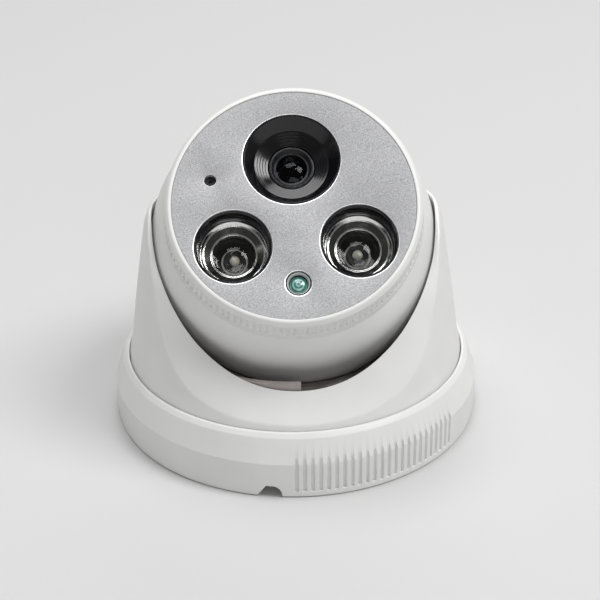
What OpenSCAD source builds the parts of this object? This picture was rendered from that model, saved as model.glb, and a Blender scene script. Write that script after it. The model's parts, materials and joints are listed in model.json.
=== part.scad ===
// Turret dome camera: a ball camera with two IR lamps, held in a cradle
// that a bayonet ring locks to a round base. Millimetres, +Z up, origin at
// the centre of the underside. The camera faces -Y, tipped up from the base.

/* [Lock ring] */
// Outer radius of the lock ring
ring_r = 59; // [58:0.5:62]
// Height of the ring's upright wall
ring_wall_h = 11.6; // [10:0.1:12]
// Height of the ring's top lip
ring_top = 20.4; // [20:0.1:21]
// Radius of the lip's inner edge, where it meets the cradle
lip_r = 54.2; // [54.1:0.05:54.4]
// Number of grooves in each thumb grip
grip_count = 24; // [12:1:28]
// Angle between neighbouring grooves, in degrees
grip_pitch = 2.35; // [2:0.05:2.6]
// Width of the cable notch in the ring's bottom edge
notch_w = 7.5; // [6:0.5:9]
// Height of the cable notch
notch_h = 3.7; // [3:0.1:3.8]

/* [Base plate] */
// Radius of the base plate
base_r = 52.5; // [52:0.1:52.6]
// Thickness of the base plate's floor
base_floor = 2.6; // [2:0.1:3]
// Radius of the central cable hole
cable_hole_r = 11; // [8:0.5:12]
// Diameter of the circle that the mounting screws lie on
screw_pcd = 78; // [70:1:80]
// Radius of each mounting screw hole
screw_hole_r = 2.25; // [2:0.05:2.6]

/* [Ball] */
// Radius of the ball
ball_r = 44.9; // [44.5:0.1:45]
// Height of the ball's centre above the underside
ball_z = 56.1; // [56:0.1:57]
// Angle between the optical axis and upright, as stored
tilt_rest = 43; // [0:1:75]
// Turn of the camera head about its optical axis, as stored
roll_rest = 1.4; // [0:0.2:3]
// Wall thickness of the ball shell
shell_wall = 2.3; // [2:0.1:2.5]

/* [Cradle] */
// Radius of the cavity that holds the ball
cavity_r = 45.8; // [45.6:0.1:46]
// Height of the cradle's ears
ear_top = 69; // [66:0.5:70]
// Height of the cradle's back edge
back_top = 65.5; // [64:0.5:67]

/* [Face] */
// Radius of the silver face plate
face_r = 36.2; // [36:0.1:36.3]
// Distance of the face from the ball's centre
face_at = 32.1; // [32:0.1:32.4]
// Radius of the lens well
lens_well_r = 14.6; // [13:0.1:15]
// Height of the lens above the face's centre
lens_y = 14.2; // [14:0.1:14.6]
// Radius of each lamp well
lamp_well_r = 11.5; // [11:0.1:11.8]
// Sideways distance of each lamp from the face's centre
lamp_x = 18.5; // [18:0.1:18.8]
// Distance of the lamps below the face's centre
lamp_y = 12.9; // [12.5:0.1:13]
// Distance of the light sensor below the face's centre
cell_y = 25.2; // [25:0.1:25.6]
// Sideways distance of the microphone hole
mic_x = 24.5; // [24:0.1:25]
// Height of the microphone hole
mic_y = 8.4; // [8:0.1:9]
// Radius of the microphone hole
mic_hole_r = 1.75; // [1.5:0.05:2]

/* [Optics] */
// Radius of the lens barrel's thread
barrel_r = 6; // [5.9:0.05:6]
// Radius of the lens barrel's head
head_r = 6.95; // [6.5:0.05:7]
// Travel of the infrared filter frame
filter_travel = 7.8; // [7.4:0.1:7.8]

/* [Hidden] */
$fn = 96;
eps = 0.01;
run_gap = 0.08;

// Lock ring, base and cradle foot share these heights
washer_top = 12.4;
foot_bottom = washer_top + 0.1;
foot_top = 15;
foot_r = 55.5;
ring_cavity_r = 56;
lug_angle = 28;
base_lug_z = 6.8;
ring_lug_z = 4.2;
lug_h = 2.4;

// Thumb grips and notch, measured from the front towards +X
grip_start = -1.2;
groove_w = 1.1;
groove_depth = 0.6;
groove_bottom = 2;
groove_top = ring_wall_h + 0.7;
notch_at = -9;

// The front of the cradle is scooped by a large cylinder along X
scoop_r = 146.6;
scoop_y = -132.8;
scoop_z = 145.5;

// Seat under the ball
seat_bottom = 13;
seat_flange = 2.4;
seat_gap = 0.3;
seat_wall_top = 31;
boss_r = 3;
boss_at = 46.4;
screws_at = 21;

// Stations along the optical axis, from the ball's centre
shell_front = 22;
lip_back = 18;
journal_r = 36.5;
cover_back = 22.3;
plate_t = 1.5;
plate_back = face_at - plate_t;
seal_t = 0.6;
shoulder_at = plate_back - seal_t;
seal_top = shoulder_at + 0.1;
chassis_back = 14.4;
board_back = 17.4;
board_t = 1.6;
chip_at = board_back + board_t;
sink_t = 5;
rear_flat = -36.5;
pocket_r = 14;
pocket_floor = -33;
holder_top = 2.4;
holder_bottom = -3.4;
boss_top = 9.9;
sensor_board_back = -5;
main_board_back = -18;
pcb_t = 1.6;
post_x = 13.5;
post_low = -5.5;
post_high = 24.6;

// ---------- Frames and shared shapes ----------

// Places its children with +Z along the stored optical axis
module on_ball() {
    translate([0, 0, ball_z])
        rotate([tilt_rest, 0, 0])
            children();
}

// The same, turned with the camera head
module on_head() {
    on_ball()
        rotate([0, 0, roll_rest])
            children();
}

// Turns its children so that +X points to a heading measured from the front
module heading(a) {
    rotate([0, 0, a - 90])
        children();
}

// A block bent round the Z axis
module arc_block(r_in, r_out, bottom, height, angle) {
    rotate([0, 0, -angle / 2])
        rotate_extrude(angle = angle)
            translate([r_in, bottom])
                square([r_out - r_in, height]);
}

// A flat ring
module flat_ring(r_out, r_in, bottom, height) {
    translate([0, 0, bottom])
        difference() {
            cylinder(r = r_out, h = height);
            translate([0, 0, -1])
                cylinder(r = r_in, h = height + 2);
        }
}

// A pan-head screw, head up, with a six-sided driver recess
module screw(head_r, head_h, shank_r, shank_l) {
    difference() {
        union() {
            cylinder(r = head_r, h = head_h);
            translate([0, 0, -shank_l])
                cylinder(r = shank_r, h = shank_l + eps);
        }
        translate([0, 0, head_h * 0.45])
            cylinder(r = head_r * 0.5, h = head_h, $fn = 6);
    }
}

// Mirrors a lamp piece to the left (-1) or right (+1) well
module at_lamp(side) {
    on_head()
        translate([side * lamp_x, -lamp_y, 0])
            children();
}

module at_lens() {
    on_head()
        translate([0, lens_y, 0])
            children();
}

// ---------- Base and lock ring ----------

module base_plate() {
    color("gainsboro")
    difference() {
        union() {
            cylinder(r = base_r, h = base_floor);
            flat_ring(base_r, base_r - 2.5, 0, washer_top - 1);
            for (i = [0:2])
                heading(60 + 120 * i)
                    arc_block(base_r - 1, foot_r, base_lug_z, lug_h, lug_angle);
            for (i = [0:2])
                heading(120 * i)
                    translate([screw_pcd / 2, 0, 0])
                        cylinder(r = 5, h = base_floor + 1.4);
        }
        translate([0, 0, -1])
            cylinder(r = cable_hole_r, h = base_floor + 2);
        for (i = [0:2])
            heading(120 * i)
                translate([screw_pcd / 2, 0, -1])
                    cylinder(r = screw_hole_r, h = base_floor + 4);
        // Groove for the gasket
        flat_ring(49, 46, -1, 2);
        // Way out for the cable, behind the ring's notch
        heading(notch_at)
            translate([base_r - 4, -notch_w / 2, base_floor])
                cube([8, notch_w, notch_h + 1]);
    }
}

module base_gasket() {
    color("dimgray")
        flat_ring(48.9, 46.1, 0, 0.95);
}

module slip_washer() {
    color("ivory")
        flat_ring(base_r - 0.1, base_r - 2.3, washer_top - 1, 1);
}

module grip_zone(start) {
    for (i = [0:grip_count - 1])
        heading(start + grip_pitch * i)
            translate([ring_r - groove_depth, 0, 0])
                rotate([90, 0, 90])
                    linear_extrude(height = 3)
                        polygon([
                            [-groove_w / 2, groove_bottom], [groove_w / 2, groove_bottom],
                            [groove_w / 2, groove_top - 0.35], [groove_w / 4, groove_top],
                            [-groove_w / 4, groove_top], [-groove_w / 2, groove_top - 0.35]
                        ]);
}

module lock_ring() {
    color("whitesmoke")
    difference() {
        union() {
            rotate_extrude($fn = 180)
                polygon([
                    [ring_cavity_r, 0], [ring_r - 0.5, 0], [ring_r, 0.5], [ring_r, ring_wall_h],
                    [ring_r - 2.75, ring_top - 1.3], [ring_r - 3.4, ring_top - 0.35],
                    [ring_r - 4, ring_top], [lip_r + 0.3, ring_top], [lip_r, ring_top - 0.3],
                    [lip_r, foot_top + 0.1], [ring_cavity_r, foot_top + 0.1]
                ]);
            for (i = [0:2])
                heading(60 + 120 * i)
                    arc_block(base_r + 0.5, ring_cavity_r + 1, ring_lug_z, lug_h, lug_angle);
        }
        grip_zone(grip_start);
        grip_zone(grip_start + 180);
        // Arched notch for the cable
        heading(notch_at)
            translate([ring_cavity_r - 5, 0, 0])
                rotate([0, 90, 0])
                    intersection() {
                        translate([notch_w * 0.5 - notch_h + 0.9, 0, 0])
                            cylinder(r = notch_w * 0.5 + 0.9, h = 12);
                        translate([-notch_h, -notch_w / 2, 0])
                            cube([notch_h + 1, notch_w, 12]);
                    }
    }
}

// ---------- Cradle and seat ----------

module cradle_body() {
    rotate_extrude($fn = 180)
        polygon([
            [50, foot_bottom], [foot_r, foot_bottom], [foot_r, foot_top], [lip_r - 0.3, foot_top],
            [lip_r - 0.3, ring_top], [53, 24], [49.2, 50], [46.5, 65.5], [45, 69.2], [42, 70],
            [42, 27], [cavity_r, 27], [50, 21.5]
        ]);
    // Bosses for the seat screws
    for (i = [0:2])
        heading(screws_at + 120 * i)
            translate([boss_at, 0, seat_bottom + seat_flange + 0.05])
                cylinder(r = boss_r, h = 9);
}

module cradle() {
    color("whitesmoke")
    difference() {
        cradle_body();
        // Cavity: straight below the ball's centre, round above it
        translate([0, 0, 25])
            cylinder(r = cavity_r, h = ball_z - 25, $fn = 180);
        translate([0, 0, ball_z])
            sphere(r = cavity_r, $fn = 180);
        // Front scoop
        translate([-80, scoop_y, scoop_z])
            rotate([0, 90, 0])
                cylinder(r = scoop_r, h = 160, $fn = 180);
        // Top edge, falling from the ears to the back
        translate([-80, 0, 0])
            rotate([90, 0, 90])
                linear_extrude(height = 160)
                    polygon([
                        [-20, ear_top], [-3, ear_top], [12, back_top + 1.2], [24, back_top],
                        [60, back_top], [60, 90], [-20, 90]
                    ]);
        for (i = [0:2])
            heading(screws_at + 120 * i)
                translate([boss_at, 0, seat_bottom + seat_flange - 1])
                    cylinder(r = 0.95, h = 8);
    }
}

// Three tall arcs stand round the seat's cup
module ball_seat() {
    color("mistyrose")
    difference() {
        union() {
            rotate_extrude($fn = 180)
                polygon([
                    [21, seat_bottom], [49.6, seat_bottom], [49.6, seat_bottom + seat_flange],
                    [33.5, seat_bottom + seat_flange], [31.2, 21.3], [21, 21.3]
                ]);
            for (i = [0:2])
                heading(-39 + 120 * i)
                    arc_block(43.4, 45.4, seat_bottom + seat_flange - 0.5,
                              seat_wall_top - seat_bottom - seat_flange + 0.5, 80);
        }
        translate([0, 0, ball_z])
            sphere(r = ball_r + seat_gap, $fn = 180);
        for (i = [0:2])
            heading(screws_at + 120 * i)
                translate([boss_at, 0, seat_bottom - 1])
                    cylinder(r = 1.3, h = 8);
    }
}

module seat_screws() {
    color("silver")
    for (i = [0:2])
        heading(screws_at + 120 * i)
            translate([boss_at, 0, seat_bottom])
                rotate([180, 0, 0])
                    screw(2.1, 0.5, 0.95, 6.5);
}

// Small rubber blocks let into the cup, just clear of the ball
module friction_pads() {
    color("dimgray")
    for (i = [0:2])
        heading(120 * i)
            rotate([0, 0, -9])
                rotate_extrude(angle = 18, $fn = 180)
                    difference() {
                        translate([23.5, 12])
                            square([4, 10]);
                        translate([0, ball_z])
                            circle(r = ball_r + 0.12);
                        difference() {
                            translate([0, ball_z])
                                circle(r = 70);
                            translate([0, ball_z])
                                circle(r = ball_r + seat_gap - 0.01);
                        }
                    }
}

// ---------- Ball shell and its rear ----------

module ball_shell() {
    color("white")
    on_ball()
        rotate_extrude($fn = 180)
            difference() {
                intersection() {
                    circle(r = ball_r);
                    translate([0, -50])
                        square([50, 50 + shell_front]);
                }
                // Hollow, flat at the rear
                intersection() {
                    circle(r = ball_r - shell_wall);
                    translate([-1, rear_flat])
                        square([50, lip_back - rear_flat]);
                }
                // Bearing for the camera head
                translate([-1, 0])
                    square([journal_r + 1, 40]);
                // Opening for the rear cap
                translate([-1, -50])
                    square([pocket_r + 2 + 0.1 + 1, 40]);
                translate([-50, -60])
                    square([50, 120]);
            }
}

module rear_cap() {
    color("whitesmoke")
    on_ball()
        difference() {
            rotate_extrude()
                polygon([
                    [5.1, pocket_floor], [pocket_r, pocket_floor], [pocket_r, -41.4], [pocket_r + 2, -41.4],
                    [pocket_r + 2, rear_flat], [21, rear_flat], [21, rear_flat + 2],
                    [pocket_r + 2, rear_flat + 2], [pocket_r + 2, pocket_floor + 2], [5.1, pocket_floor + 2]
                ]);
            for (i = [0:2])
                rotate([0, 0, 120 * i])
                    translate([18.6, 0, -40])
                        cylinder(r = 1, h = 10);
        }
}

module cap_screws() {
    color("silver")
    on_ball()
        for (i = [0:2])
            rotate([0, 0, 120 * i])
                translate([18.6, 0, rear_flat + 2])
                    screw(1.9, 1.3, 0.95, 1.9);
}

// The gland is empty: its bore is where the cable would run
module cable_gland() {
    color("dimgray")
    on_ball()
        rotate_extrude()
            polygon([
                [2.6, -41], [3.9, -41], [5.2, -36.5], [7.6, -36], [7.6, pocket_floor],
                [5, pocket_floor], [5, -26.5], [2.6, -26.5]
            ]);
}

module gland_nut() {
    color("dimgray")
    on_ball()
        difference() {
            translate([0, 0, pocket_floor + 2])
                cylinder(r = 8, h = 3.4, $fn = 6);
            translate([0, 0, pocket_floor])
                cylinder(r = 5, h = 9);
        }
}

// ---------- Front of the camera head ----------

module front_cover() {
    color("white")
    on_head()
        rotate_extrude($fn = 180)
            polygon([
                [36, cover_back], [39.15, cover_back], [38.9, 25.2], [38.45, 29.6], [38.2, 30.9],
                [37.8, 31.8], [37.2, 32.35], [36.6, 32.4], [36.3, 32.1],
                [36.3, shoulder_at], [33.9, shoulder_at], [33.9, 28.4], [36, 28.4]
            ]);
}

module face_seal() {
    color("dimgray")
    on_head()
        flat_ring(36.1, 34.3, shoulder_at, seal_t);
}

module face_plate() {
    color("silver")
    on_head()
    difference() {
        translate([0, 0, plate_back])
            cylinder(r = face_r, h = plate_t, $fn = 180);
        translate([0, lens_y, plate_back - 1])
            cylinder(r = lens_well_r, h = 4);
        for (side = [-1, 1])
            translate([side * lamp_x, -lamp_y, plate_back - 1])
                cylinder(r = lamp_well_r, h = 4);
        translate([0, -cell_y, plate_back - 1])
            cylinder(r = 3.75, h = 4);
        // Countersink round the light sensor
        translate([0, -cell_y, face_at - 0.7])
            cylinder(r1 = 3.75, r2 = 4.46, h = 0.71);
        translate([-mic_x, mic_y, plate_back - 1])
            cylinder(r = mic_hole_r, h = 4);
    }
}

// Stepped black hood round the lens
hood_steps = 5;
hood_wide = 11.2;
hood_narrow = 7.15;
hood_high = 28.2;
hood_low = 25.4;
hood_step_w = (hood_wide - hood_narrow) / hood_steps;
hood_step_h = (hood_high - hood_low) / hood_steps;

module lens_hood() {
    color("#151517")
    at_lens()
        rotate_extrude()
            polygon(concat(
                [[hood_narrow, 23.4], [lens_well_r - 0.1, 23.4], [lens_well_r - 0.1, face_at - 0.1],
                 [lens_well_r - 0.5, face_at - 0.1]],
                [for (i = [0:hood_steps - 1]) each [
                    [hood_wide - i * hood_step_w, hood_high - i * hood_step_h],
                    [hood_wide - (i + 1) * hood_step_w, hood_high - i * hood_step_h - 0.1]
                ]]
            ));
}

// Slim below the face plate, where it passes inside the chassis
module lamp_sleeve() {
    rotate_extrude()
        polygon([
            [10.4, 26.5], [10.4, seal_top], [10.7, face_at - 0.5], [11.1, face_at - 0.1],
            [lamp_well_r - 0.1, face_at - 0.1], [lamp_well_r - 0.1, seal_top], [10.8, seal_top],
            [10.8, chip_at + 0.1], [10.4, chip_at + 0.1]
        ]);
}

module lamp_sleeve_left() {
    color("#151517")
        at_lamp(-1)
            lamp_sleeve();
}

module lamp_sleeve_right() {
    color("#151517")
        at_lamp(1)
            lamp_sleeve();
}

// Bright cup with two ledges round the lamp's lens
module reflector() {
    rotate_extrude()
        polygon([
            [3.4, chip_at + 0.1], [10.3, chip_at + 0.1], [10.3, 26.4], [9.9, 26.4], [9.2, 25.6],
            [8.9, 25.6], [7, 24.4], [6.45, 24.4], [6.45, 22.6], [5.6, 22.4]
        ]);
}

module reflector_left() {
    color("silver")
        at_lamp(-1)
            reflector();
}

module reflector_right() {
    color("silver")
        at_lamp(1)
            reflector();
}

dome_r = 11;
dome_top = 24.9;

module lamp_lens() {
    intersection() {
        translate([0, 0, 22.65])
            cylinder(r = 6.35, h = 6);
        translate([0, 0, dome_top - dome_r])
            sphere(r = dome_r);
    }
}

module lamp_lens_left() {
    color("lightgray", 0.5)
        at_lamp(-1)
            lamp_lens();
}

module lamp_lens_right() {
    color("lightgray", 0.5)
        at_lamp(1)
            lamp_lens();
}

module lamp_chip() {
    translate([-2.5, -2.5, chip_at])
        cube([5, 5, 1]);
    intersection() {
        translate([0, 0, chip_at + 0.9])
            cylinder(r = 2.1, h = 3);
        translate([0, 0, chip_at + 0.2])
            sphere(r = 2.2);
    }
}

module lamp_chip_left() {
    color("khaki")
        at_lamp(-1)
            lamp_chip();
}

module lamp_chip_right() {
    color("khaki")
        at_lamp(1)
            lamp_chip();
}

module light_sensor() {
    color("teal")
    on_head()
        translate([0, -cell_y, 0]) {
            translate([0, 0, 27.6])
                cylinder(r = 2.7, h = 2.4);
            for (s = [-1, 1])
                translate([s * 1.2, 0, chip_at])
                    cylinder(r = 0.25, h = 9, $fn = 24);
        }
}

module sensor_sleeve() {
    color("#151517")
    on_head()
        translate([0, -cell_y, 0])
            rotate_extrude()
                polygon([
                    [2.8, 24], [3.65, 24], [3.65, face_at - 0.5], [3.3, face_at - 0.25],
                    [2.95, face_at - 0.7], [2.8, face_at - 1.2]
                ]);
}

module microphone() {
    color("silver")
    on_head()
        translate([-mic_x, mic_y, 26])
            cylinder(r = 3, h = 2.6);
}

module microphone_boot() {
    color("#151517")
    on_head()
        translate([-mic_x, mic_y, 0])
            rotate_extrude()
                polygon([
                    [0.6, 28.6], [3, 28.6], [3, 25.4], [3.9, 25.4], [3.9, plate_back], [0.6, plate_back]
                ]);
}

// ---------- Chassis, boards and cooling ----------

module chassis() {
    color("gainsboro")
    on_head()
        rotate_extrude($fn = 180)
            polygon([
                [31, chassis_back], [journal_r - run_gap, chassis_back], [journal_r - run_gap, 16.1],
                [35.6, 16.1], [35.6, 17.8], [journal_r - run_gap, 17.8], [journal_r - run_gap, cover_back - 0.1],
                [35.9, cover_back - 0.1], [35.9, 28.3], [33.4, 28.3], [33.4, board_back], [31, board_back]
            ]);
}

module retaining_clip() {
    color("silver")
    on_head()
        difference() {
            flat_ring(38, 35.65, 16.2, 1.5);
            heading(180)
                translate([30, -4, 10])
                    cube([20, 8, 10]);
        }
}

// Places of the screws that hold the lamp board to the heat sink
module board_screw_places() {
    for (a = [-72, 10, 170, 252])
        rotate([0, 0, a])
            translate([28, 0, 0])
                children();
}

module led_board() {
    color("white")
    on_head()
        difference() {
            translate([0, 0, board_back])
                cylinder(r = 33.3, h = board_t);
            translate([0, lens_y, board_back - 1])
                cylinder(r = 8.6, h = 4);
            board_screw_places()
                translate([0, 0, board_back - 1])
                    cylinder(r = 1.1, h = 4);
        }
}

// Thick aluminium disc with four cooling slots
module heat_sink() {
    color("silver")
    on_head()
        difference() {
            translate([0, 0, board_back - sink_t])
                cylinder(r = 30.8, h = sink_t);
            translate([0, lens_y, 0])
                cylinder(r = 9, h = 30);
            board_screw_places()
                translate([0, 0, 13])
                    cylinder(r = 1, h = 6);
            for (i = [0:3])
                translate([-16 + i * 9.5, -22, board_back - sink_t - 1])
                    cube([3, 20, 3]);
        }
}

module board_screws() {
    color("silver")
    on_head()
        board_screw_places()
            translate([0, 0, chip_at])
                screw(1.9, 1.2, 1, 4);
}

// ---------- Lens, filter and sensor ----------

module lens_barrel() {
    color("#151517")
    at_lens()
        rotate_extrude()
            polygon([
                [4.4, 6], [barrel_r, 6], [barrel_r, 21], [head_r, 21], [head_r, 25.2], [head_r - 0.4, 25.6],
                [6.1, 25.6], [5.2, 24.6], [4.7, 24.6], [4.7, 20], [4.4, 20]
            ]);
}

module front_glass() {
    color("midnightblue", 0.6)
    at_lens()
        intersection() {
            translate([0, 0, 21])
                cylinder(r = 4.65, h = 4);
            translate([0, 0, 16.6])
                sphere(r = 8);
        }
}

module rear_glass() {
    color("lightblue", 0.6)
    at_lens()
        translate([0, 0, 8])
            cylinder(r = 4.35, h = 3);
}

module lens_nut() {
    color("#28282c")
    at_lens()
        difference() {
            flat_ring(8.2, barrel_r + run_gap, boss_top + 0.1, 2);
            for (i = [0:3])
                rotate([0, 0, 90 * i])
                    translate([7.4, -0.8, boss_top - 1])
                        cube([3, 1.6, 5]);
        }
}

module lens_holder() {
    color("#1c1c20")
    at_lens()
        difference() {
            union() {
                translate([-14, -8, holder_bottom])
                    cube([28, 16, holder_top - holder_bottom]);
                cylinder(r = 8, h = boss_top);
            }
            translate([0, 0, 1.4])
                cylinder(r = barrel_r + run_gap, h = 20);
            translate([0, 0, -5])
                cylinder(r = 3.4, h = 10);
            // Chamber of the image sensor
            translate([-5.5, -4.5, holder_bottom - 1])
                cube([11, 9, 3.1]);
            // Slot that the filter frame slides in
            translate([-12.5, -4.7, -1])
                cube([25, 9.4, 1.6]);
        }
}

// The frame's two windows lie one travel apart
module filter_frame() {
    color("#303034")
    at_lens()
        translate([filter_travel / 2, 0, -0.8])
            difference() {
                translate([-8.2, -4.4, 0])
                    cube([16.4, 8.8, 1.2]);
                for (s = [-1, 1])
                    translate([s * filter_travel / 2, 0, -1])
                        cylinder(r = 3.4, h = 4);
            }
}

module filter_glass() {
    color("paleturquoise", 0.6)
    at_lens()
        translate([0, 0, -0.6])
            cylinder(r = 3.4, h = 0.8);
}

module clear_glass() {
    color("white", 0.4)
    at_lens()
        translate([filter_travel, 0, -0.6])
            cylinder(r = 3.4, h = 0.8);
}

module filter_coil() {
    color("peru")
    at_lens()
        translate([-5, -10.7, -0.5])
            rotate([0, 90, 0])
                cylinder(r = 2.6, h = 10);
}

module image_sensor() {
    color("#203040")
    at_lens()
        translate([-4.5, -3.6, sensor_board_back + pcb_t])
            cube([9, 7.2, 1.2]);
}

module sensor_board() {
    color("darkgreen")
    on_head()
        translate([-16.5, -8.5, sensor_board_back])
            cube([33, 36, pcb_t]);
}

module post_places() {
    for (x = [-post_x, post_x], y = [post_low, post_high])
        translate([x, y, 0])
            children();
}

module board_posts() {
    color("goldenrod")
    on_head()
        post_places() {
            translate([0, 0, sensor_board_back + pcb_t])
                cylinder(r = 1.8, h = board_back - sink_t - sensor_board_back - pcb_t, $fn = 48);
            translate([0, 0, main_board_back + pcb_t])
                cylinder(r = 1.8, h = sensor_board_back - main_board_back - pcb_t, $fn = 48);
        }
}

module main_board() {
    color("darkgreen")
    on_head()
        translate([0, 0, main_board_back])
            cylinder(r = 31, h = pcb_t);
}

module connectors() {
    color("ivory")
    on_head()
        for (i = [0:2])
            translate([-17 + i * 13, -6, main_board_back - 5])
                difference() {
                    cube([10, 6, 5]);
                    translate([1, 1, -1])
                        cube([8, 4, 5]);
                }
}

base_plate();
base_gasket();
slip_washer();
lock_ring();
cradle();
ball_seat();
seat_screws();
friction_pads();
ball_shell();
rear_cap();
cap_screws();
cable_gland();
gland_nut();
front_cover();
face_seal();
face_plate();
lens_hood();
lamp_sleeve_left();
lamp_sleeve_right();
reflector_left();
reflector_right();
lamp_lens_left();
lamp_lens_right();
lamp_chip_left();
lamp_chip_right();
light_sensor();
sensor_sleeve();
microphone();
microphone_boot();
chassis();
retaining_clip();
led_board();
heat_sink();
board_screws();
lens_barrel();
front_glass();
rear_glass();
lens_nut();
lens_holder();
filter_frame();
filter_glass();
clear_glass();
filter_coil();
image_sensor();
sensor_board();
board_posts();
main_board();
connectors();
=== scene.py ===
import json
import math

import bmesh
import bpy
from mathutils import Matrix, Vector


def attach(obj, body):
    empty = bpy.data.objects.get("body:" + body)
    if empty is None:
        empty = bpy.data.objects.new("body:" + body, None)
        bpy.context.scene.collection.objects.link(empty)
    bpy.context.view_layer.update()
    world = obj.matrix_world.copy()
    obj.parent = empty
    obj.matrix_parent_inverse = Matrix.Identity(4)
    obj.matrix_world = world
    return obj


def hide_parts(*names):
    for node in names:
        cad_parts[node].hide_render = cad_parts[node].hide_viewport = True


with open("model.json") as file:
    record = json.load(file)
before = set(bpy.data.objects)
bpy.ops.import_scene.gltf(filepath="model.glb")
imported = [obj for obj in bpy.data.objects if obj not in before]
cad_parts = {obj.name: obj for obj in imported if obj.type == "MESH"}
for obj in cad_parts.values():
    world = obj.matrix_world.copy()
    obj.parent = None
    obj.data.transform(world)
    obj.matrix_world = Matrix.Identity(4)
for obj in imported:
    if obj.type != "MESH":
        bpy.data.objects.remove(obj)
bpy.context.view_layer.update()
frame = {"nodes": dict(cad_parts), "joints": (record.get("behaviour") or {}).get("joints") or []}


# ---------- Viewpoint ----------
# The turret stands on a table at arm's length, seen from in front and a little above,
# through a short telephoto lens.

MM = 0.001
view_height = 28.14
view_heading = Matrix.Rotation(math.radians(-1.2), 4, "Z")
lens_mm = 84.06

camera_data = bpy.data.cameras.new("viewpoint")
camera_data.lens = lens_mm
camera_data.sensor_width = 36
camera = bpy.data.objects.new("viewpoint", camera_data)
bpy.context.scene.collection.objects.link(camera)
camera.matrix_world = (
    view_heading
    @ Matrix.Translation(Vector((1.79, -399.9, 249.2)) * MM)
    @ Matrix.Rotation(math.radians(90 - view_height), 4, "X")
    @ Matrix.Rotation(math.radians(-0.84), 4, "Z")
)
bpy.context.scene.camera = camera
bpy.context.scene.view_settings.view_transform = "Standard"


# ---------- Table and studio ----------
# A pale matt sweep lies under the camera unit. Two large soft lights hang above it and to
# the right, weaker ones stand at the front, back and left, and the walls give the rest.

def shader_of(finish):
    return finish.node_tree.nodes["Principled BSDF"]


def new_finish(name, colour, roughness, **sockets):
    """A Principled material; further sockets are given by name with _ for a space."""
    finish = bpy.data.materials.new(name)
    finish.use_nodes = True
    shader = shader_of(finish)
    shader.inputs["Base Color"].default_value = (*colour, 1)
    shader.inputs["Roughness"].default_value = roughness
    for socket, value in sockets.items():
        shader.inputs[socket.replace("_", " ")].default_value = value
    return finish


def add_node(finish, kind, **settings):
    made = finish.node_tree.nodes.new("ShaderNode" + kind)
    for name, value in settings.items():
        setattr(made, name, value)
    return made


def join(finish, source, target):
    finish.node_tree.links.new(source, target)


def cloud(finish, size, detail=2.0):
    """Smooth noise on the piece's own coordinates, in lumps about size mm across."""
    place = add_node(finish, "TexCoord")
    noise = add_node(finish, "TexNoise")
    noise.inputs["Scale"].default_value = 1 / (size * MM)
    noise.inputs["Detail"].default_value = detail
    join(finish, place.outputs["Object"], noise.inputs["Vector"])
    return noise.outputs["Fac"]


def vary(finish, socket, pattern, low, high):
    """Runs a number socket from low to high over the middle of a pattern."""
    scale = add_node(finish, "MapRange")
    scale.inputs["From Min"].default_value = 0.3
    scale.inputs["From Max"].default_value = 0.7
    scale.inputs["To Min"].default_value = low
    scale.inputs["To Max"].default_value = high
    join(finish, pattern, scale.inputs["Value"])
    join(finish, scale.outputs["Result"], shader_of(finish).inputs[socket])


def tint(finish, pattern, dark, light):
    """Runs the colour from dark to light over the middle of a pattern."""
    ramp = add_node(finish, "ValToRGB")
    ramp.color_ramp.elements[0].position = 0.35
    ramp.color_ramp.elements[0].color = (*dark, 1)
    ramp.color_ramp.elements[1].position = 0.65
    ramp.color_ramp.elements[1].color = (*light, 1)
    join(finish, pattern, ramp.inputs["Fac"])
    join(finish, ramp.outputs["Color"], shader_of(finish).inputs["Base Color"])


def emboss(finish, pattern, height):
    """Raises the surface by up to height mm where a pattern is light."""
    bump = add_node(finish, "Bump")
    bump.inputs["Distance"].default_value = height * MM
    join(finish, pattern, bump.inputs["Height"])
    join(finish, bump.outputs["Normal"], shader_of(finish).inputs["Normal"])


def area_light(name, place, aim, width, height, power):
    data = bpy.data.lights.new(name, "AREA")
    data.shape = "RECTANGLE"
    data.size = width
    data.size_y = height
    data.energy = power
    lamp = bpy.data.objects.new(name, data)
    lamp.location = place
    lamp.rotation_euler = (Vector(aim) - Vector(place)).to_track_quat("-Z", "Y").to_euler()
    bpy.context.scene.collection.objects.link(lamp)


sweep_size = 3.0
sweep_drop = 0.05 * MM
sweep_bm = bmesh.new()
bmesh.ops.create_grid(sweep_bm, x_segments=8, y_segments=8, size=sweep_size)
bmesh.ops.translate(sweep_bm, verts=sweep_bm.verts, vec=(0, 0, -sweep_drop))
sweep_mesh = bpy.data.meshes.new("sweep")
sweep_bm.to_mesh(sweep_mesh)
sweep_bm.free()
sweep = bpy.data.objects.new("sweep", sweep_mesh)
bpy.context.scene.collection.objects.link(sweep)
sweep_paper = new_finish("sweep_paper", (0.60, 0.60, 0.60), 0.9)
vary(sweep_paper, "Roughness", cloud(sweep_paper, 40), 0.85, 0.95)
sweep_mesh.materials.append(sweep_paper)

room = bpy.data.worlds.new("room")
room.use_nodes = True
room.node_tree.nodes["Background"].inputs["Color"].default_value = (1, 1, 1, 1)
room.node_tree.nodes["Background"].inputs["Strength"].default_value = 0.15
bpy.context.scene.world = room
subject = (0, 0, 0.05)
area_light("key_light", (1.15, -0.45, 1.9), subject, 0.9, 0.9, 27)
area_light("top_light", (-0.2, 0.3, 2.2), subject, 1.4, 1.4, 30)
area_light("front_light", (0.2, -2.0, 1.0), subject, 1.2, 0.8, 7)
area_light("back_light", (0.3, 1.8, 1.2), subject, 1.2, 0.8, 6)
area_light("left_light", (-1.9, -0.4, 0.7), subject, 0.6, 0.9, 2)


# ---------- Base plate, gasket and washer ----------
# A round moulded plate of white ABS takes the ceiling screws. A black foam gasket is pressed
# into the groove under it, and a nylon washer on its rim lets the turret turn.

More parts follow.
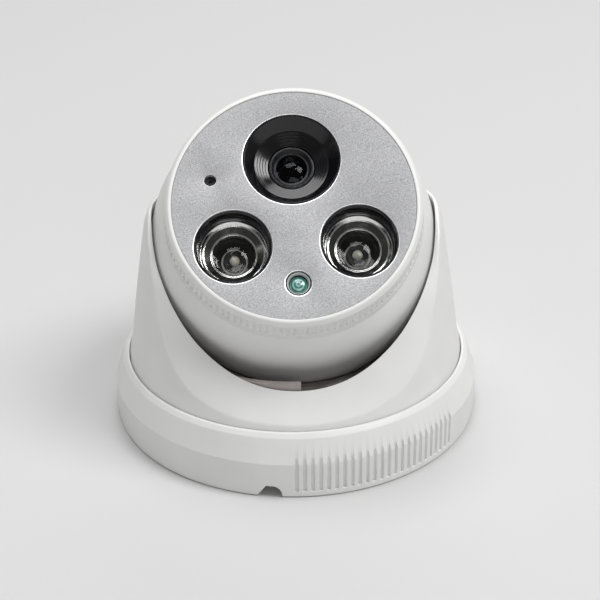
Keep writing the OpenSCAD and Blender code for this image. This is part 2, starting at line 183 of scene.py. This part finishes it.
def moulded(name, colour, roughness):
    """Injection-moulded plastic with a fine spark-eroded texture and faint flow marks."""
    finish = new_finish(name, colour, roughness, IOR=1.5)
    shade = [0.965 * c for c in colour]
    tint(finish, cloud(finish, 14, 3), shade, colour)
    vary(finish, "Roughness", cloud(finish, 5, 4), roughness - 0.05, roughness + 0.05)
    emboss(finish, cloud(finish, 0.3, 2), 0.006)
    return finish


def refinish(finish, *nodes):
    """Gives carried-over pieces their finish."""
    for name in nodes:
        mesh = frame["nodes"][name].data
        mesh.materials.clear()
        mesh.materials.append(finish)


base_plastic = moulded("base_plastic", (0.74, 0.74, 0.72), 0.5)
foam_rubber = new_finish("foam_rubber", (0.03, 0.03, 0.032), 0.85)
emboss(foam_rubber, cloud(foam_rubber, 0.25, 3), 0.05)
vary(foam_rubber, "Roughness", cloud(foam_rubber, 1.5), 0.75, 0.95)
seat_nylon = new_finish("seat_nylon", (0.42, 0.38, 0.36), 0.55)
tint(seat_nylon, cloud(seat_nylon, 6), (0.38, 0.345, 0.33), (0.46, 0.42, 0.40))
emboss(seat_nylon, cloud(seat_nylon, 0.4), 0.01)

refinish(base_plastic, "base_plate")
refinish(foam_rubber, "base_gasket")
refinish(seat_nylon, "slip_washer")


# ---------- Lock ring ----------
# The white ABS ring is moulded in one piece. It drops over the turret's foot and a twist
# hooks its three inner lugs under the base's, with a grooved thumb grip at front and back.

def outline(corners, steps=6):
    """Section points in mm from corners (r, z) or (r, z, fillet), each fillet an arc."""
    points = []
    for i, corner in enumerate(corners):
        here = Vector(corner[:2])
        if len(corner) == 2:
            points.append(here)
            continue
        back = Vector(corners[i - 1][:2]) - here
        ahead = Vector(corners[(i + 1) % len(corners)][:2]) - here
        half = back.angle(ahead) / 2
        reach = min(corner[2] / math.tan(half), 0.48 * back.length, 0.48 * ahead.length)
        middle = (back.normalized() + ahead.normalized()).normalized()
        centre = here + middle * reach / math.cos(half)
        radius = reach * math.tan(half)
        first = here + back.normalized() * reach - centre
        last = here + ahead.normalized() * reach - centre
        points += [centre + radius * first.slerp(last, k / steps) for k in range(steps + 1)]
    return points


def section_row(bm, points, heading=90.0, closed=True):
    """Puts a section in the bmesh as a line of edges, at a heading from the front towards +X."""
    turn = math.radians(heading)
    across = math.sin(turn)
    along = -math.cos(turn)
    row = [bm.verts.new((r * across * MM, r * along * MM, z * MM)) for r, z in points]
    edges = [bm.edges.new(pair) for pair in zip(row, row[1:])]
    if closed:
        edges.append(bm.edges.new((row[-1], row[0])))
    return row + edges


def sweep_round(bm, geom, degrees, steps):
    """Carries a section round the upright axis and returns the row where it ends."""
    return bmesh.ops.spin(
        bm, geom=geom, cent=(0, 0, 0), axis=(0, 0, 1), angle=math.radians(degrees), steps=steps
    )["geom_last"]


def finished(name, bm, place=None, sharp=32):
    """Turns a bmesh into an object in its place, smooth but for its sharp edges."""
    bmesh.ops.recalc_face_normals(bm, faces=bm.faces)
    for face in bm.faces:
        face.smooth = True
    for edge in bm.edges:
        if len(edge.link_faces) == 2:
            edge.smooth = edge.calc_face_angle() < math.radians(sharp)
    mesh = bpy.data.meshes.new(name)
    bm.to_mesh(mesh)
    bm.free()
    if place:
        mesh.transform(place)
    piece = bpy.data.objects.new(name, mesh)
    bpy.context.scene.collection.objects.link(piece)
    return piece


def fitted(piece, body, slot, finishes, *nodes):
    """Gives a new piece its finishes and its body, in place of the nodes it stands for."""
    for finish in finishes:
        piece.data.materials.append(finish)
    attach(piece, body)
    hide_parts(*nodes)
    return piece


white_shell = moulded("white_shell", (0.80, 0.80, 0.79), 0.4)

merge_gap = 0.002 * MM
ring_r = 59.0
ring_wall = 11.6
ring_top = 20.4
ring_slope_top = (56.25, 19.1)
ring_bore = 56.0
lip_r = 54.2
foot_level = 15.1
grip_count = 24
grip_pitch = 2.35
grip_start = -1.2
groove_floor = ring_r - 0.85
groove_half = 0.63
groove_flat = 0.4
groove_foot = 2.0
notch_heading = -9.0
notch_h = 3.6
notch_foot_left = 3.9
notch_round = 2.9
notch_slope = 1.35
notch_round_from = 0.8
notch_reach = 9.0
lug_turn = 28.0
lug_bottom = 4.2
lug_top = 6.6
lug_reach = 3
lug_root = 1
lug_heading = 60


def slope_point(z):
    """A point of the ring's sloping shoulder at a given height."""
    share = (z - ring_wall) / (ring_slope_top[1] - ring_wall)
    return (ring_r + share * (ring_slope_top[0] - ring_r), z)


ring_section = outline(
    [(ring_bore, 0), (ring_r - 0.5, 0), (ring_r, 0.5, 0.4)]
    + [(ring_r, z) for z in (1.4, groove_foot, groove_foot + 0.12, 4, 6, 8, 10)]
    + [(ring_r, ring_wall, 0.5)]
    + [slope_point(12.2 + 0.25 * i) for i in range(6)]
    + [slope_point(16), (*ring_slope_top, 1.2), (55, ring_top, 0.9), (lip_r, ring_top, 0.35)]
    + [(lip_r, foot_level), (ring_bore, foot_level)]
)


def arch(along):
    """Height of the cable notch along the ring: sloped at its left, round at its right."""
    rise = min(notch_h, notch_slope * (along + notch_foot_left))
    side = (along - notch_round_from) / notch_round
    if side > 0:
        rise = min(rise, notch_h * math.sqrt(max(0, 1 - side * side)))
    return max(0, rise)


def shape_ring_point(co):
    """Presses the grip grooves into the wall and lifts its foot over the cable notch."""
    r = co.xy.length / MM
    z = co.z / MM
    heading = math.degrees(math.atan2(co.x, -co.y))
    arc_mm = math.radians(1) * ring_r
    if r > ring_bore + 0.5 and z > groove_foot + 0.05:
        for start in (grip_start, grip_start - 180, grip_start + 180):
            count = round((heading - start) / grip_pitch)
            if 0 <= count < grip_count:
                away = abs(heading - start - count * grip_pitch) * arc_mm
                rise = min(1, max(0, (away - groove_flat) / (groove_half - groove_flat)))
                floor = groove_floor + (ring_r - groove_floor) * rise
                if rise < 1 and r > floor:
                    co.xy *= floor / r
    if z < notch_reach and r > ring_bore - 0.1:
        lift = arch((heading - notch_heading) * arc_mm)
        co.z = (lift + z * (notch_reach - lift) / notch_reach) * MM


def inner_lug(bm, r_in, r_out, bottom, top, heading):
    """A bayonet lug: a short arc of a flat ring with closed ends."""
    block = [(r_in, bottom), (r_out, bottom), (r_out, top), (r_in, top)]
    geom = section_row(bm, block, heading - lug_turn / 2)
    sweep_round(bm, geom, lug_turn, 24)
    bmesh.ops.holes_fill(bm, edges=[e for e in bm.edges if e.is_boundary])


ring_bm = bmesh.new()
zone = grip_count * grip_pitch
zone_start = grip_start - grip_pitch / 2
notch_half = 5.5
plain_to_notch = 180 - zone + notch_heading - notch_half - zone_start
stretches = [
    (zone, grip_count * 12),
    (180 - zone, 60),
    (zone, grip_count * 12),
    (plain_to_notch, 54),
    (2 * notch_half, 72),
    (180 - zone - plain_to_notch - 2 * notch_half, 2),
]
last_row = section_row(ring_bm, ring_section, zone_start)
for stretch, steps in stretches:
    last_row = sweep_round(ring_bm, last_row, stretch, steps)
bmesh.ops.remove_doubles(ring_bm, verts=ring_bm.verts, dist=merge_gap)
for i in range(3):
    inner_lug(
        ring_bm, ring_bore - lug_reach, ring_bore + lug_root, lug_bottom, lug_top,
        lug_heading + 120 * i,
    )
for vert in ring_bm.verts:
    shape_ring_point(vert.co)
lock_ring = finished("lock_ring_shell", ring_bm)
fitted(lock_ring, "ring", "white_shell", [white_shell], "lock_ring")


# ---------- Cradle ----------
# The cradle is one white ABS moulding: a foot that turns in the ring, and a wall scooped low
# at the front, so that two ears hold the ball. A soft ridge runs down each cheek.

def through(stations, at):
    """A smooth curve through stations (x, y), level at both ends."""
    for i in range(len(stations) - 1):
        if at <= stations[i + 1][0]:
            break
    slopes = []
    for k in (i, i + 1):
        if 0 < k < len(stations) - 1:
            before, after = stations[k - 1], stations[k + 1]
            slopes.append((after[1] - before[1]) / (after[0] - before[0]))
        else:
            slopes.append(0)
    (x0, y0), (x1, y1) = stations[i], stations[i + 1]
    run = x1 - x0
    t = min(1, max(0, (at - x0) / run))
    return (
        (2 * t ** 3 - 3 * t ** 2 + 1) * y0
        + (t ** 3 - 2 * t ** 2 + t) * run * slopes[0]
        + (3 * t ** 2 - 2 * t ** 3) * y1
        + (t ** 3 - t ** 2) * run * slopes[1]
    )


joints = {joint["name"]: joint for joint in frame["joints"]}
ball_centre = Vector(joints["tilt"]["pos_m"])
ball_z = ball_centre.z / MM
cavity_r = 45.8
ear_top = 69.0
back_top = 65.5
foot_bottom = 12.5
foot_r = 55.5
wall_foot_r = 53.9
seat_shelf = 21.5
rim_heights = [
    (0, 29.4), (20, 31.8), (40, 39.6), (55, 48.8), (65, 56.8), (72, 63), (80, 67.6),
    (90, ear_top), (102, 67.8), (125, 66), (180, back_top)
]
ridge_heights = [
    (0, 22), (20, 22.7), (30, 24.6), (40, 28.2), (50, 36.2), (60, 49.5), (70, 63.3),
    (76, 67.2), (84, 68.9), (90, ear_top), (102, 67.8), (125, 66), (180, back_top)
]
wall_radii = [
    (ring_top, wall_foot_r), (24, 53), (37, 51.2), (50, 49.2), (60, 47.5), (65.5, 46.5), (69.2, 45)
]


def wall_radius(z):
    """Radius of the cradle's outer wall at a height, straight between its stations."""
    for (z0, r0), (z1, r1) in zip(wall_radii, wall_radii[1:]):
        if z <= z1:
            break
    return r0 + (r1 - r0) * (z - z0) / (z1 - z0)


def bore_radius(z):
    """Radius of the cavity: straight below the ball's centre and round above it."""
    above = max(0, z - ball_z)
    return math.sqrt(cavity_r ** 2 - above ** 2)


def cradle_section(heading):
    """The cradle's wall cut at a heading, in mm, with the same number of points all round."""
    away = abs(heading)
    rim = through(rim_heights, away)
    ridge = through(ridge_heights, away)
    shoulder = min(4.2, 0.7 * (ridge - ring_top))
    outer = [ring_top + (ridge - shoulder - ring_top) * k / 7 for k in range(8)]
    inner = [rim - 0.8 - (rim - 0.8 - 27) * k / 9 for k in range(10)]
    return outline(
        [(50, foot_bottom), (foot_r, foot_bottom), (foot_r, 15), (wall_foot_r, 15)]
        + [(wall_radius(z), z) for z in outer]
        + [(wall_radius(ridge), ridge, 3.4), (bore_radius(rim), rim, 0.5)]
        + [(bore_radius(z), z) for z in inner]
        + [(50, seat_shelf)]
    )


cradle_steps = 400
cradle_bm = bmesh.new()
row_count = len(cradle_section(0))
section_row(cradle_bm, [(cavity_r, row) for row in range(row_count)], 0)
sweep_round(cradle_bm, cradle_bm.verts[:] + cradle_bm.edges[:], 360, cradle_steps)
bmesh.ops.remove_doubles(cradle_bm, verts=cradle_bm.verts, dist=merge_gap)
sections = {}
for vert in cradle_bm.verts:
    heading = math.degrees(math.atan2(vert.co.x, -vert.co.y))
    key = round(heading, 2)
    if key not in sections:
        sections[key] = cradle_section(key)
    r, z = sections[key][round(vert.co.z / MM)]
    turn = math.radians(heading)
    vert.co = Vector((r * math.sin(turn), -r * math.cos(turn), z)) * MM
cradle = finished("cradle_shell", cradle_bm, sharp=40)
fitted(cradle, "turret", "white_shell", [white_shell], "cradle")


# ---------- Ball seat, its screws and pads ----------
# The ball turns in an acetal cup screwed up into the cradle from below. Three rubber blocks in
# the cup rub on the ball, so that it stays where it is set.

def metal(name, colour, roughness, lump=1.5, scratch=0.002):
    """Bare or plated metal with a faint, uneven polish."""
    finish = new_finish(name, colour, roughness, Metallic=1.0)
    vary(finish, "Roughness", cloud(finish, lump, 4), roughness - 0.06, roughness + 0.08)
    emboss(finish, cloud(finish, 0.25, 3), scratch)
    return finish


steel = metal("steel", (0.56, 0.56, 0.57), 0.3)
pad_rubber = new_finish("pad_rubber", (0.045, 0.045, 0.048), 0.7)
emboss(pad_rubber, cloud(pad_rubber, 0.3, 3), 0.02)
vary(pad_rubber, "Roughness", cloud(pad_rubber, 2), 0.6, 0.8)
refinish(seat_nylon, "ball_seat")
refinish(steel, "seat_screws", "cap_screws", "retaining_clip", "board_screws")
refinish(pad_rubber, "friction_pads", "face_seal")


# ---------- Ball shell, rear cap and gland ----------
# The ball is a turned-smooth white shell with a bearing in its mouth. A screwed cap closes its
# rear, with a nylon gland where the lead would leave.

def arc(radius, start, end, steps):
    """Points of an arc round the ball's centre, by the angle from its equator."""
    angles = [math.radians(start + (end - start) * k / steps) for k in range(steps + 1)]
    return [(radius * math.cos(a), radius * math.sin(a)) for a in angles]


def turned(name, points, place, steps=128, sharp=32, grips=None):
    """A solid of revolution from a section, closed on the axis if the section starts there."""
    bm = bmesh.new()
    on_axis = points[0][0] == 0 and points[-1][0] == 0
    section_row(bm, points, 90, closed=not on_axis)
    sweep_round(bm, bm.verts[:] + bm.edges[:], 360, steps)
    bmesh.ops.remove_doubles(bm, verts=bm.verts, dist=merge_gap)
    if grips:
        for vert in bm.verts:
            grips(vert.co)
    return finished(name, bm, place, sharp)


optical_axis = Vector(joints["roll"]["axis"])
head_across = -Vector(joints["filter_shift"]["axis"])
head_upward = optical_axis.cross(head_across)
head_turn = Matrix((head_across, head_upward, optical_axis)).transposed().to_4x4()
on_head = Matrix.Translation(ball_centre) @ head_turn
ball_r = 44.9
shell_wall = 2.3
mouth_z = 22.0
lip_back = 18.0
journal_r = 36.5
rear_flat = -36.5
cap_hole_r = 16.1
mouth_chamfer = 0.4


def latitude(radius, z):
    return math.degrees(math.asin(z / radius))


ball_inner = ball_r - shell_wall
ball_section = (
    outline([
        (journal_r, lip_back), (journal_r, mouth_z - mouth_chamfer),
        (journal_r + mouth_chamfer, mouth_z),
    ])
    + arc(ball_r, latitude(ball_r, mouth_z), -math.degrees(math.acos(cap_hole_r / ball_r)), 60)
    + [(cap_hole_r, rear_flat)]
    + arc(ball_inner, latitude(ball_inner, rear_flat), latitude(ball_inner, lip_back), 40)
)
ball = turned("ball_outer_shell", ball_section, on_head, steps=180)
fitted(ball, "ball", "white_shell", [white_shell], "ball_shell")

gland_nylon = new_finish("gland_nylon", (0.09, 0.09, 0.095), 0.5)
emboss(gland_nylon, cloud(gland_nylon, 0.3), 0.01)
vary(gland_nylon, "Roughness", cloud(gland_nylon, 2), 0.42, 0.58)
refinish(white_shell, "rear_cap")
refinish(gland_nylon, "cable_gland", "gland_nut")


# ---------- Front cover ----------
# A white ABS bezel screws onto the camera head and holds the face. A band of fine grip
# grooves runs round its side behind the rounded front edge.

grip_grooves = 120
knurl_depth = 0.65
knurl_back = 25.4
knurl_front = 30.0
knurl_foot_r = 37.9
knurl_narrowing = 2.6


def cut_knurl(co):
    """Presses the fine grooves into the bezel's side, open to the front."""
    r = co.xy.length / MM
    z = co.z / MM
    if r > knurl_foot_r and knurl_back < z < knurl_front:
        turn = math.atan2(co.y, co.x) * grip_grooves / math.tau
        away = abs(turn - round(turn))
        depth = knurl_depth * max(0, 1 - away * knurl_narrowing)
        co.xy *= (r - depth) / r


cover_section = outline(
    [(36, 22.1), (39.2, 22.1, 0.12), (38.98, 24.3), (38.92, 25.3), (38.91, 25.5)]
    + [(38.8, 26.5), (38.68, 28), (38.5, 29.2), (38.45, 29.9), (38.4, 30.3)]
    + [(38.25, 31.2, 0.8), (37.2, 32.4, 1.3), (36.3, 32.4, 0.25), (36.3, 30)]
    + [(33.9, 30), (33.9, 28.4), (36, 28.4)]
)
cover = turned("front_bezel", cover_section, on_head, grip_grooves * 6, 40, cut_knurl)
fitted(cover, "head", "white_shell", [white_shell], "front_cover")


# ---------- Face plate ----------
# The face is a disc of aluminium, sprayed with fine silver paint. Its wells are bored after
# painting, so that their chamfers are bright metal.

face_r = 36.2
face_z = 32.1
face_thick = 1.5
lens_up = 14.2
lens_well_r = 14.6
lamp_across = 18.5
lamp_down = 12.9
lamp_well_r = 11.5
cell_down = 25.2
cell_hole_r = 3.75
mic_across = 24.5
mic_up = 8.4
mic_hole_r = 1.85
wells = [
    (0, lens_up, lens_well_r, 0.26),
    (-lamp_across, -lamp_down, lamp_well_r, 0.24),
    (lamp_across, -lamp_down, lamp_well_r, 0.24),
    (0, -cell_down, cell_hole_r, 0.35),
    (-mic_across, mic_up, mic_hole_r, 0.06),
]

large_r = 10
face_bm = bmesh.new()
for x, y, r in [(0, 0, face_r)] + [well[:3] for well in wells]:
    bmesh.ops.create_circle(
        face_bm,
        segments=192 if r > large_r else 72,
        radius=r * MM,
        matrix=Matrix.Translation(Vector((x, y, face_z - face_thick)) * MM),
    )
bmesh.ops.triangle_fill(face_bm, edges=face_bm.edges, use_beauty=True, normal=(0, 0, 1))
raised = bmesh.ops.extrude_face_region(face_bm, geom=face_bm.faces)["geom"]
raised_verts = [v for v in raised if isinstance(v, bmesh.types.BMVert)]
bmesh.ops.translate(face_bm, verts=raised_verts, vec=(0, 0, face_thick * MM))
on_rim = 0.01 * MM
for x, y, r, chamfer in wells:
    middle = Vector((x, y, face_z)) * MM
    rim = [
        e for e in face_bm.edges
        if all(abs((v.co - middle).length - r * MM) < on_rim for v in e.verts)
    ]
    cut = bmesh.ops.bevel(
        face_bm, geom=rim, offset=chamfer * MM, offset_type="OFFSET", segments=2, profile=0.5,
        affect="EDGES", material=-1, clamp_overlap=False,
    )
    for face in cut["faces"]:
        face.material_index = 1

silver_face = new_finish("silver_face", (0.40, 0.40, 0.41), 0.5, Metallic=0.1)
tint(silver_face, cloud(silver_face, 0.27, 0), (0.31, 0.31, 0.315), (0.50, 0.50, 0.51))
emboss(silver_face, cloud(silver_face, 0.4, 0), 0.003)
vary(silver_face, "Roughness", cloud(silver_face, 0.6, 0), 0.45, 0.6)
bright_cut = metal("bright_cut", (0.95, 0.95, 0.96), 0.42)
face_plate = finished("silver_face_plate", face_bm, on_head)
fitted(face_plate, "head", "silver_face", [silver_face, bright_cut], "face_plate")


# ---------- Lens hood ----------
# The hood is a black moulding that lines the lens well. Five small steps at its foot stop
# stray light from reaching the lens.

black_plastic = new_finish("black_plastic", (0.005, 0.005, 0.006), 0.14)
vary(black_plastic, "Roughness", cloud(black_plastic, 2, 3), 0.1, 0.18)
emboss(black_plastic, cloud(black_plastic, 0.3), 0.001)

hood_steps = 5
hood_wide = 11.2
hood_narrow = 7.15
hood_high = 28.2
hood_low = 25.4
tread = (hood_wide - hood_narrow) / hood_steps
drop = (hood_high - hood_low) / hood_steps
on_lens = on_head @ Matrix.Translation((0, lens_up * MM, 0))
hood_foot = 23.4
hood_top = 32
hood_r = lens_well_r - 0.1
hood_section = [
    (hood_narrow, hood_foot), (hood_r, hood_foot), (hood_r, hood_top), (14.1, hood_top, 0.15)
]
for i in range(hood_steps):
    hood_section.append((hood_wide - i * tread, hood_high - i * drop, 0.16))
    hood_section.append((hood_wide - (i + 1) * tread, hood_high - i * drop - 0.1, 0.16))
hood = turned("lens_well_hood", outline(hood_section, 3), on_lens, 160)
fitted(hood, "head", "black_plastic", [black_plastic], "lens_hood")


# ---------- Lens barrel and glass ----------
# The lens is a black anodised barrel that screws in its holder, with a bevelled nose and a
# coated front element of dark, clear glass.

black_metal = new_finish("black_metal", (0.02, 0.02, 0.022), 0.28, Metallic=0.4)
vary(black_metal, "Roughness", cloud(black_metal, 1.2, 3), 0.2, 0.36)
lens_glass = new_finish("lens_glass", (0.30, 0.34, 0.42), 0.0, IOR=1.22, Transmission_Weight=1.0)
vary(lens_glass, "Roughness", cloud(lens_glass, 3), 0.0, 0.004)

barrel_section = outline([
    (4.4, 6), (6, 6, 0.2), (6, 21), (6.95, 21, 0.15), (6.95, 25.6, 0.35), (6.15, 25.6, 0.2),
    (5.3, 24.6, 0.15), (4.7, 24.6, 0.1), (4.7, 20), (3.9, 19.8, 0.1), (3.9, 19.0),
    (3.2, 18.8, 0.1), (3.2, 17.8), (4.4, 17.6)
], 4)
barrel = turned("lens_barrel_body", barrel_section, on_lens, 120)
fitted(barrel, "lens", "black_metal", [black_metal], "lens_barrel")

glass_r = 4.65
glass_curve = 8.0
glass_centre = 16.6
glass_edge = math.degrees(math.acos(glass_r / glass_curve))
glass_section = [(0, 21), (glass_r, 21)] + [
    (r, z + glass_centre) for r, z in arc(glass_curve, glass_edge, 90, 20)
]
glass_section[-1] = (0, glass_centre + glass_curve)
front_glass = turned("front_element", glass_section, on_lens, 96)
fitted(front_glass, "lens", "lens_glass", [lens_glass], "front_glass")
refinish(lens_glass, "rear_glass", "filter_glass", "clear_glass")
refinish(black_metal, "lens_nut")
refinish(black_plastic, "lens_holder", "filter_frame")


# ---------- Lamps ----------
# Each infrared lamp sits in a black sleeve. A plated cup with two ledges throws its light
# forward, and a clear acrylic dome covers the chip, a die under a drop of yellowish resin.

chrome = metal("chrome", (0.80, 0.80, 0.79), 0.12)
# A darker copy of the chrome, as painted shade on the cup's sloping ledge; the cup is plated alike
# all over.
chrome_painted_shade = metal("chrome_painted_shade", (0.16, 0.16, 0.155), 0.16)
lamp_resin = new_finish("lamp_resin", (0.90, 0.90, 0.89), 0.0, IOR=1.32, Transmission_Weight=1.0)
vary(lamp_resin, "Roughness", cloud(lamp_resin, 3), 0.0, 0.005)
# Near-black painted shade for the deep part of each lamp cup and for the die round its resin drop,
# where the recess lies in shade.
black_painted_shade = new_finish("black_painted_shade", (0.004, 0.004, 0.004), 0.6)
vary(black_painted_shade, "Roughness", cloud(black_painted_shade, 1), 0.5, 0.7)
chip_resin = new_finish("chip_resin", (0.80, 0.79, 0.68), 0.3)
tint(chip_resin, cloud(chip_resin, 1.6), (0.45, 0.44, 0.36), (1.0, 0.99, 0.88))

sleeve_section = outline([
    (10.4, 26.5), (10.4, 30.1), (10.7, 31.6, 0.2), (11.1, 32, 0.15), (11.4, 32, 0.1), (11.4, 30.1),
    (10.8, 30.1), (10.8, 19.1), (10.4, 19.1)
], 3)
cup_section = outline([
    (3.4, 19.1), (10.3, 19.1), (10.3, 26.4, 0.1), (9.9, 26.4, 0.15), (9.2, 25.6, 0.3),
    (8.9, 25.6, 0.3), (7, 24.4, 0.3), (6.45, 24.4, 0.15), (6.45, 22.6), (5.6, 22.4)
], 4)
dome_r = 11.0
dome_top = 24.9
dome_half = 6.35
dome_edge = math.degrees(math.acos(dome_half / dome_r))
dome_section = [(0, 22.65), (dome_half, 22.65)] + [
    (r, z + dome_top - dome_r) for r, z in arc(dome_r, dome_edge, 90, 18)
]
dome_section[-1] = (0, dome_top)
drop_r = 1.35
drop_h = 1.3
drop_foot = 20
die_r = 2.9
chip_section = [(0, 19), (die_r, 19), (die_r, drop_foot), (drop_r + 0.1, drop_foot)]
for angle in range(0, 90, 15):
    turn = math.radians(angle)
    chip_section.append((drop_r * math.cos(turn), drop_foot + drop_h * math.sin(turn)))
chip_section.append((0, drop_foot + drop_h))
# Below this height the lamp cup carries the near-black painted shade.
painted_shade_top = 22.55
ledge_from = 7
ledge_to = 8.8

for side, across in (("left", -lamp_across), ("right", lamp_across)):
    on_lamp = on_head @ Matrix.Translation(Vector((across, -lamp_down, 0)) * MM)
    sleeve = turned(f"lamp_{side}_sleeve", sleeve_section, on_lamp, 128)
    fitted(sleeve, "head", "black_plastic", [black_plastic], f"lamp_sleeve_{side}")
    cup = turned(f"lamp_{side}_cup", cup_section, on_lamp, 128)
    fitted(cup, "head", "reflector", [chrome, black_painted_shade, chrome_painted_shade], f"reflector_{side}")
    from_lamp = on_lamp.inverted()
    # Faces below the dome's foot get the near-black painted shade, and the sloping ledge gets the
    # darkened chrome that is painted shade.
    for face in cup.data.polygons:
        middle = from_lamp @ face.center / MM
        if middle.z < painted_shade_top:
            face.material_index = 1
        elif ledge_from < middle.xy.length < ledge_to:
            face.material_index = 2
    dome = turned(f"lamp_{side}_dome", dome_section, on_lamp, 96)
    fitted(dome, "head", "lamp_lens", [lamp_resin], f"lamp_lens_{side}")
    chip = turned(f"lamp_{side}_die", chip_section, on_lamp, 48)
    fitted(chip, "head", "lamp_chip", [chip_resin, black_painted_shade], f"lamp_chip_{side}")
    # The die round the resin drop and its sides get the near-black painted shade.
    for face in chip.data.polygons:
        if (from_lamp @ face.center).xy.length > drop_r * MM:
            face.material_index = 1


# ---------- Light sensor ----------
# The sensor that wakes the lamps is a photocell: a ceramic disc with a ringed track under a
# drop of clear resin, on two wire legs, in a black sleeve with a pale inner rim.

cell_r = 2.7
cell_rim = 30.2
cell_top = 31.1
cell_curve = 4.6
leg_r = 0.25
leg_across = 1.2
leg_length = 8.7
leg_middle = 23.35
on_cell = on_head @ Matrix.Translation((0, -cell_down * MM, 0))

cell_teal = new_finish("cell_teal", (0.10, 0.30, 0.27), 0.12, Coat_Weight=1.0, Coat_Roughness=0.04)
ring_place = add_node(cell_teal, "TexCoord")
ring_centre = add_node(cell_teal, "Mapping", vector_type="TEXTURE")
ring_centre.inputs["Location"].default_value = on_cell.translation
ring_centre.inputs["Rotation"].default_value = on_cell.to_euler()
rings = add_node(cell_teal, "TexWave", wave_type="RINGS", rings_direction="Z")
rings.inputs["Scale"].default_value = 0.3 / MM
rings.inputs["Distortion"].default_value = 1.5
join(cell_teal, ring_place.outputs["Object"], ring_centre.inputs["Vector"])
join(cell_teal, ring_centre.outputs["Vector"], rings.inputs["Vector"])
tint(cell_teal, rings.outputs["Fac"], (0.04, 0.17, 0.14), (0.26, 0.48, 0.44))
emboss(cell_teal, rings.outputs["Fac"], 0.05)

cell_bm = bmesh.new()
cell_section = outline([(0, 27.6), (cell_r, 27.6, 0.15), (cell_r, cell_rim, 0.1)], 3)
cell_section += [(r, z + cell_top - cell_curve) for r, z in arc(cell_curve, 57, 90, 12)]
cell_section[-1] = (0, cell_top)
section_row(cell_bm, cell_section, closed=False)
sweep_round(cell_bm, cell_bm.verts[:] + cell_bm.edges[:], 360, 72)
bmesh.ops.remove_doubles(cell_bm, verts=cell_bm.verts, dist=merge_gap)
for side in (-1, 1):
    bmesh.ops.create_cone(
        cell_bm, cap_ends=True, segments=16, radius1=leg_r * MM, radius2=leg_r * MM,
        depth=leg_length * MM,
        matrix=Matrix.Translation(Vector((side * leg_across, 0, leg_middle)) * MM),
    )
cell = finished("photocell", cell_bm, on_cell)
fitted(cell, "head", "cell", [cell_teal], "light_sensor")

cell_sleeve_section = outline([
    (2.8, 24), (3.65, 24), (3.65, 31.6, 0.1), (3.3, 31.85, 0.1), (2.95, 31.4, 0.1), (2.8, 30.9)
], 3)
cell_sleeve = turned("photocell_sleeve", cell_sleeve_section, on_cell, 72)
clear_rim = new_finish("clear_rim", (0.42, 0.45, 0.44), 0.15, Coat_Weight=1.0)
vary(clear_rim, "Roughness", cloud(clear_rim, 0.5), 0.1, 0.3)
fitted(cell_sleeve, "head", "black_plastic", [black_plastic, clear_rim], "sensor_sleeve")
pale_from_z = 30.5
pale_to_r = 3.4
from_cell = on_cell.inverted()
for face in cell_sleeve.data.polygons:
    middle = from_cell @ face.center / MM
    if middle.z > pale_from_z and middle.xy.length < pale_to_r:
        face.material_index = 1


# ---------- Chassis, boards and cooling ----------
# Behind the face a die-cast ring carries the lamp board on its thick aluminium cooling disc,
# with the sensor board and the main board stacked behind on brass posts.

cast_alloy = metal("cast_alloy", (0.60, 0.60, 0.61), 0.45, 2.5, 0.02)
brass = metal("brass", (0.72, 0.52, 0.22), 0.3)
mic_can = metal("mic_can", (0.70, 0.70, 0.70), 0.35)


def circuit_board(name, mask, track):
    """Solder mask over copper: a coarse pattern of slightly lighter, raised areas."""
    finish = new_finish(name, mask, 0.35)
    place = add_node(finish, "TexCoord")
    brick = add_node(finish, "TexBrick")
    brick.inputs["Scale"].default_value = 1 / (6 * MM)
    brick.inputs["Color1"].default_value = (*mask, 1)
    brick.inputs["Color2"].default_value = (*[0.85 * c for c in mask], 1)
    brick.inputs["Mortar"].default_value = (*track, 1)
    brick.inputs["Mortar Size"].default_value = 0.03
    join(finish, place.outputs["Object"], brick.inputs["Vector"])
    join(finish, brick.outputs["Color"], shader_of(finish).inputs["Base Color"])
    emboss(finish, brick.outputs["Fac"], 0.03)
    return finish


board_white = circuit_board("board_white", (0.75, 0.75, 0.73), (0.65, 0.63, 0.55))
board_green = circuit_board("board_green", (0.02, 0.13, 0.06), (0.05, 0.25, 0.12))
copper_coil = metal("copper_coil", (0.70, 0.32, 0.18), 0.3)
winding = add_node(copper_coil, "TexWave", bands_direction="X")
winding.inputs["Scale"].default_value = 1 / (1.2 * MM)
winding_place = add_node(copper_coil, "TexCoord")
join(copper_coil, winding_place.outputs["Object"], winding.inputs["Vector"])
emboss(copper_coil, winding.outputs["Fac"], 0.1)
sensor_die = new_finish("sensor_die", (0.03, 0.05, 0.08), 0.1, Coat_Weight=1.0)
tint(sensor_die, cloud(sensor_die, 2), (0.02, 0.03, 0.06), (0.05, 0.08, 0.12))
connector_nylon = moulded("connector_nylon", (0.78, 0.76, 0.68), 0.45)

refinish(cast_alloy, "chassis", "heat_sink")
refinish(brass, "board_posts")
refinish(mic_can, "microphone")
# The microphone boot is black rubber, made near-black as painted shade at the bottom of its hole.
refinish(black_painted_shade, "microphone_boot")
refinish(board_white, "led_board")
refinish(board_green, "sensor_board", "main_board")
refinish(copper_coil, "filter_coil")
refinish(sensor_die, "image_sensor")
refinish(connector_nylon, "connectors")
